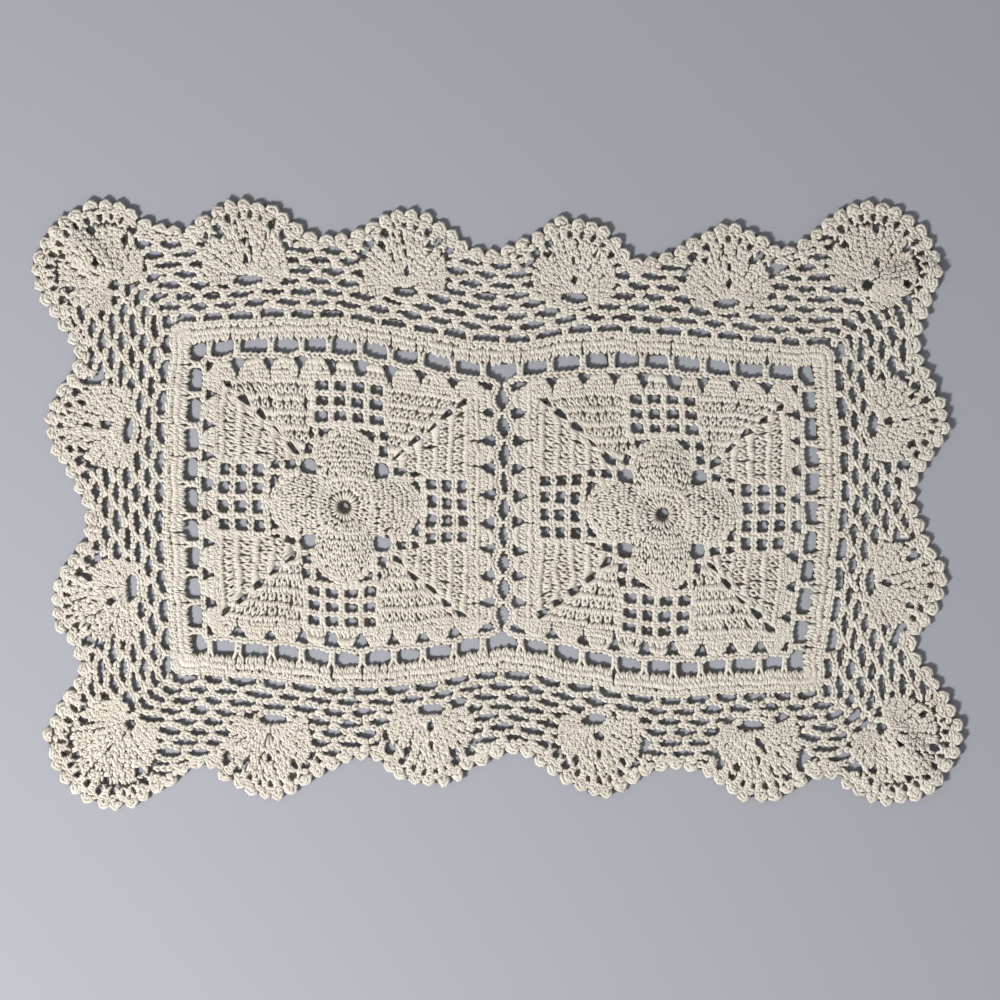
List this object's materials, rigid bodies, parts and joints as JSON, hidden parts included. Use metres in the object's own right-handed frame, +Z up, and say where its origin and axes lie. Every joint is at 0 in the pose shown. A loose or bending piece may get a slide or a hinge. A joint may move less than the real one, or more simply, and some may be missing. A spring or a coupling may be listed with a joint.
{
  "type": "lace doily",
  "caption": "Rectangular crocheted lace doily: two joined flower squares inside a row of open windows, a close band, a diamond net and a shell edging with picots, lying flat.",
  "frame": {"origin": "centre of the doily's outline, at the level of the surface it lies on", "axes": "X along the length, Y across the width, Z up; the two flower squares lie one beside the other along X"},
  "size_m": [0.4592, 0.3015, 0.006],
  "materials": {
    "cream_cotton": "matt cream cotton thread, crocheted, unbleached and lightly slubbed"
  },
  "bodies": {
    "root": {"flower_square_west": "cream_cotton", "flower_square_east": "cream_cotton", "border": "cream_cotton"}
  },
  "joints": []
}
